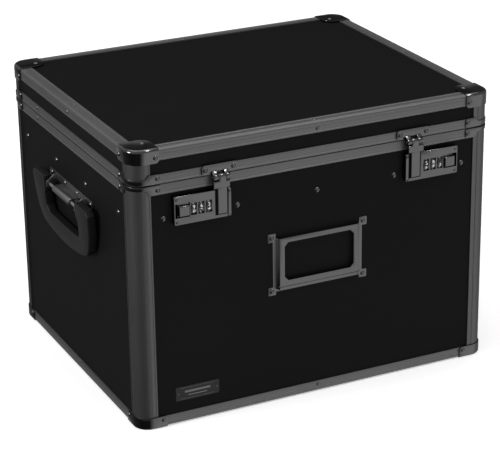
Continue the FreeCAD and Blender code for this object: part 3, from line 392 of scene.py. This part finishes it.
finishes = {
    # Each row: name, dark and light tone, smooth and rough gloss, grain scale, then relief if any.
    "panel": grained("panel_laminate", 0.0035, 0.0095, 0.5, 0.65, 1400, 0.3, 0.0001, specular=0.04),
    "edging": grained("anodised_edging", 0.12, 0.18, 0.48, 0.6, 700, metallic=0.9),
    "black_steel": grained("black_nickel", 0.085, 0.115, 0.1, 0.2, 500, 0.12, 0.00005, metallic=1.0),
    "rivet_black": grained("rivet_nickel", 0.1, 0.14, 0.24, 0.34, 300, metallic=1.0),
    "name_metal": grained(
        "name_plate_metal", 0.014, 0.035, 0.4, 0.6, 900, 0.3, 0.0001, metallic=0.4, specular=0.2
    ),
    "plain_steel": grained("zinc_steel", 0.35, 0.5, 0.25, 0.4, 250, metallic=1.0),
    "bracket_steel": grained("bright_steel", 0.17, 0.3, 0.28, 0.42, 900, 0.3, 0.0001, metallic=1.0),
    "dial_plastic": grained("dial_black", 0.004, 0.008, 0.2, 0.3, 200),
    "grip_plastic": grained("grip_moulding", 0.004, 0.009, 0.38, 0.5, 500, 0.1, 0.0001, specular=0.25),
    "rail_plastic": grained("rail_moulding", 0.02, 0.03, 0.4, 0.5, 300),
}
CASE_HALF_SIZES = (0.215, 0.178)
add_streaks(finishes["edging"], CASE_HALF_SIZES)
post_finish = grained("post_anodising", 0.08, 0.125, 0.42, 0.52, 700, metallic=0.9)
add_streaks(post_finish)
cap_finish = grained("cap_black_nickel", 0.085, 0.11, 0.04, 0.08, 60, metallic=1.0)
finishes["dial_white"] = finish_material("dial_white", (0.85, 0.85, 0.85), 0.5)
slot_of = {part["node"]: part["material_slot"] for part in frame["record"]["subparts"]}
for name, item in nodes.items():
    item.data.materials.clear()
    item.data.materials.append(finishes[slot_of[name]])
for name in ("body_corner_extrusions", "lid_corner_extrusions"):
    nodes[name].data.materials[0] = post_finish
print("finishes given to", len(nodes), "solids")

# %% [markdown]
# ## Eased steel parts
# The pressed steel parts are copies of their solids with every sharp edge eased. Pressed and plated
# sheet always has such an edge, and it is what catches the light. The triangles of a copy are first
# merged into true faces, so that the easing runs along whole edges.

# %% Ease the edges of the steel parts
body_of = {}
for body_name in frame["bodies"]:
    for name, item in nodes.items():
        if item.parent is not None and item.parent.name == frame["bodies"][body_name].name:
            body_of[name] = body_name


SHADING_ANGLE = math.radians(32)
EASING_ANGLE = math.radians(40)
FLAT_ANGLE = math.radians(0.5)
MERGE_DISTANCE = 0.000001


def finished_piece(name, shape, material, body, *stands_for):
    """An object at the origin from a bmesh, smooth except at sharp edges, riding on its body."""
    bmesh.ops.recalc_face_normals(shape, faces=shape.faces)
    for face in shape.faces:
        face.smooth = True
    for edge in shape.edges:
        if len(edge.link_faces) == 2 and edge.calc_face_angle() > SHADING_ANGLE:
            edge.smooth = False
    data = bpy.data.meshes.new(name)
    shape.to_mesh(data)
    shape.free()
    item = bpy.data.objects.new(name, data)
    item.data.materials.append(material)
    bpy.context.scene.collection.objects.link(item)
    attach(item, body)
    if stands_for:
        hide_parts(*stands_for)
    return item


def merged_copy(name):
    """A solid's triangles as true faces, in the row frame."""
    shape = bmesh.new()
    shape.from_mesh(nodes[name].data)
    shape.transform(nodes[name].matrix_world)
    bmesh.ops.remove_doubles(shape, verts=shape.verts, dist=MERGE_DISTANCE)
    bmesh.ops.dissolve_limit(shape, angle_limit=FLAT_ANGLE, verts=shape.verts, edges=shape.edges)
    return shape


def eased_copy(name, width, slot_name):
    """A copy with its sharp outer edges eased, standing in for the solid."""
    shape = merged_copy(name)
    sharp = [e for e in shape.edges if len(e.link_faces) == 2 and e.calc_face_angle() > EASING_ANGLE]
    bmesh.ops.bevel(
        shape,
        geom=sharp,
        offset=width,
        affect="EDGES",
        segments=2,
        profile=0.5,
        material=-1,
        clamp_overlap=True,
    )
    bmesh.ops.triangulate(shape, faces=[f for f in shape.faces if len(f.verts) > 4])
    finish = cap_finish if name.endswith("corner_caps") else finishes[slot_name]
    piece = finished_piece(name + "_eased", shape, finish, body_of[name], name)
    return piece


EASED = {
    "lid_corner_caps": 0.00025,
    "base_corner_caps": 0.00025,
    "lid_corner_brackets": 0.0002,
    "body_corner_brackets": 0.0002,
    "lock_housing_left": 0.0002,
    "lock_housing_right": 0.0002,
    "hasp_plate_left": 0.0002,
    "hasp_plate_right": 0.0002,
    "hasp_left": 0.0002,
    "hasp_right": 0.0002,
    "lock_slider_left": 0.0002,
    "lock_slider_right": 0.0002,
    "card_holder": 0.00015,
    "handle_bracket_left": 0.0002,
    "handle_bracket_right": 0.0002,
}
eased = [eased_copy(name, width, slot_of[name]) for name, width in EASED.items()]
print("eased parts:", len(eased), "faces:", sum(len(o.data.polygons) for o in eased))

# %% [markdown]
# ## Moulded grips
# Each grip is drawn as its side outline, with the outer edge stepped into a curve, and given its
# thickness. The rims are then rounded, as a mould's parting edges are. The bores for the rods are not
# drawn, so the rods' ends run inside the solid lugs, where nobody sees them.

# %% Mould the grips
# The left half of each outline, as millimetres along the chest and above the pivot.
GRIP_RIM = [(-46, 8.5), (-78, 8.5), (-83.5, 3.5), (-82.5, -12), (-79.6, -25), (-75, -37)]
GRIP_RIM += [(-70.5, -43.6), (-64, -48.8), (-50, -52.6), (-34, -55.2), (-17, -57)]
GRIP_HOLLOW = [(-46, -7), (-50, -12), (-50, -27), (-44, -34), (-22, -34.8)]
GRIP_THICK = 0.01
PIVOT_X = 0.2237
PIVOT_Z = 0.213
GRIP_LEAN = math.radians(4.7)
GRIP_EDGE = 0.0014


def ring_of(points, middle):
    """The whole outline from its left half, in metres."""
    whole = points + [middle] + [(-u, v) for u, v in reversed(points)]
    return [(u / 1000, v / 1000) for u, v in whole]


def moulded_grip(side):
    """One grip as a closed shape, leaning a little away from the chest."""
    outline = ring_of(GRIP_RIM, (0, -57.5)) + list(reversed(ring_of(GRIP_HOLLOW, (0, -35))))
    shape = bmesh.new()
    corners = [shape.verts.new((-GRIP_THICK / 2, u, v)) for u, v in outline]
    shape.faces.new(corners)
    moved = bmesh.ops.extrude_face_region(shape, geom=list(shape.faces))
    far = [v for v in moved["geom"] if isinstance(v, bmesh.types.BMVert)]
    bmesh.ops.translate(shape, vec=(GRIP_THICK, 0, 0), verts=far)
    rims = [e for e in shape.edges if abs(e.verts[0].co.x - e.verts[1].co.x) < 1e-6]
    bmesh.ops.bevel(
        shape,
        geom=rims,
        offset=GRIP_EDGE,
        affect="EDGES",
        segments=4,
        profile=0.5,
        material=-1,
        clamp_overlap=True,
    )
    bmesh.ops.triangulate(shape, faces=[f for f in shape.faces if len(f.verts) > 4])
    lean = Matrix.Rotation(-GRIP_LEAN, 4, "Y")
    shape.transform(Matrix.Translation((-PIVOT_X, 0, PIVOT_Z)) @ lean)
    if side > 0:
        shape.transform(Matrix.Diagonal((-1, 1, 1, 1)))
    return shape


for side, label in ((-1, "left"), (1, "right")):
    node_name = "handle_grip_" + label
    grip = finished_piece(
        "moulded_grip_" + label,
        moulded_grip(side),
        finishes["grip_plastic"],
        body_of[node_name],
        node_name,
    )
    print(grip.name, len(grip.data.polygons), "faces")

# %% [markdown]
# ## Numerals on the dials
# Ten numerals stand round each dial, one on each facet between the grooves. Each starts as flat text,
# is given a little thickness, and is then wrapped round the wheel, so it follows the curve.

# %% Wrap the numerals round the dials
DIAL_RADIUS = 0.008
DIAL_Y = -0.1767
DIAL_Z = 0.247
DIAL_MIDDLE = 0.1394
DIAL_PITCH = 0.00865
NUMERAL_TALL = 0.0037
NUMERAL_HALF_THICK = 0.0001
NUMERAL_WIDEN = 1.12
FACET_STEP = 36


def numeral_shape(figure):
    """One numeral as a thin closed sheet, centred, with its height scaled to size."""
    text = bpy.data.curves.new("numeral_text", "FONT")
    text.body = figure
    text.extrude = NUMERAL_HALF_THICK
    text.resolution_u = 3
    source = bpy.data.objects.new("numeral_text", text)
    bpy.context.scene.collection.objects.link(source)
    bpy.context.view_layer.update()
    data = bpy.data.meshes.new_from_object(source)
    bpy.data.objects.remove(source)
    shape = bmesh.new()
    shape.from_mesh(data)
    bmesh.ops.remove_doubles(shape, verts=shape.verts, dist=MERGE_DISTANCE)
    lows = [min(v.co[i] for v in shape.verts) for i in range(2)]
    highs = [max(v.co[i] for v in shape.verts) for i in range(2)]
    size = NUMERAL_TALL / (highs[1] - lows[1])
    for v in shape.verts:
        v.co.x = (v.co.x - (lows[0] + highs[0]) / 2) * size * NUMERAL_WIDEN
        v.co.y = (v.co.y - (lows[1] + highs[1]) / 2) * size
        v.co.z = NUMERAL_HALF_THICK if v.co.z > 0 else -NUMERAL_HALF_THICK
    return shape


numerals = [numeral_shape(str(figure)) for figure in range(10)]


def numeral_ring(middle_x, start):
    """The ten numerals wrapped round one dial."""
    ring = bmesh.new()
    for step in range(10):
        flat = numerals[(start + step) % 10].copy()
        facet = math.radians(FACET_STEP / 2 - FACET_STEP * step)
        for v in flat.verts:
            angle = facet + v.co.y / DIAL_RADIUS
            reach = DIAL_RADIUS + v.co.z * 0.6
            ahead = reach * math.cos(angle)
            above = reach * math.sin(angle)
            v.co = (middle_x + v.co.x, DIAL_Y - ahead, DIAL_Z + above)
        part = bpy.data.meshes.new("numeral_part")
        flat.to_mesh(part)
        flat.free()
        ring.from_mesh(part)
        bpy.data.meshes.remove(part)
    return ring


rings = []
for side, label in ((-1, "left"), (1, "right")):
    for step, place in enumerate(("inner", "middle", "outer")):
        middle_x = side * (DIAL_MIDDLE + (step - 1) * DIAL_PITCH)
        body = "dial_%s_%s" % (label, place)
        ring = numeral_ring(middle_x, 3 * step + side + 4)
        piece = finished_piece("numerals_%s_%s" % (label, place), ring, finishes["dial_white"], body)
        rings.append(piece)
for shape in numerals:
    shape.free()
print("numerals on", len(rings), "dials")

# %% [markdown]
# ## Lines on the name plate
# The small plate low on the front has raised lines and no lettering: four bars, two long and thin.

# %% Emboss the name plate
CASE_FRONT = -0.178
PANEL_RECESS = 0.0013
PLATE_THICK = 0.00065
PLATE_FACE = CASE_FRONT + PANEL_RECESS - PLATE_THICK


def raised_bar(shape, x_span, z_span, proud=0.00018):
    """One raised bar with sloping edges, on the plate's face."""
    made = bmesh.ops.create_cube(shape, size=1.0)["verts"]
    for v in made:
        inset = 0.00012 if v.co.y < 0 else 0.0
        v.co.x = (x_span[0] + inset) if v.co.x < 0 else (x_span[1] - inset)
        v.co.z = (z_span[0] + inset) if v.co.z < 0 else (z_span[1] - inset)
        v.co.y = PLATE_FACE - proud if v.co.y < 0 else PLATE_FACE + 0.0001


lines = bmesh.new()
raised_bar(lines, (-0.1665, -0.1261), (0.0402, 0.0407))
raised_bar(lines, (-0.1665, -0.1261), (0.0277, 0.0282))
raised_bar(lines, (-0.1615, -0.1311), (0.0345, 0.0372))
raised_bar(lines, (-0.1575, -0.1351), (0.0308, 0.0322))
plate_lines = finished_piece("name_plate_lines", lines, finishes["rivet_black"], "case")
print(plate_lines.name, len(plate_lines.data.polygons), "faces")
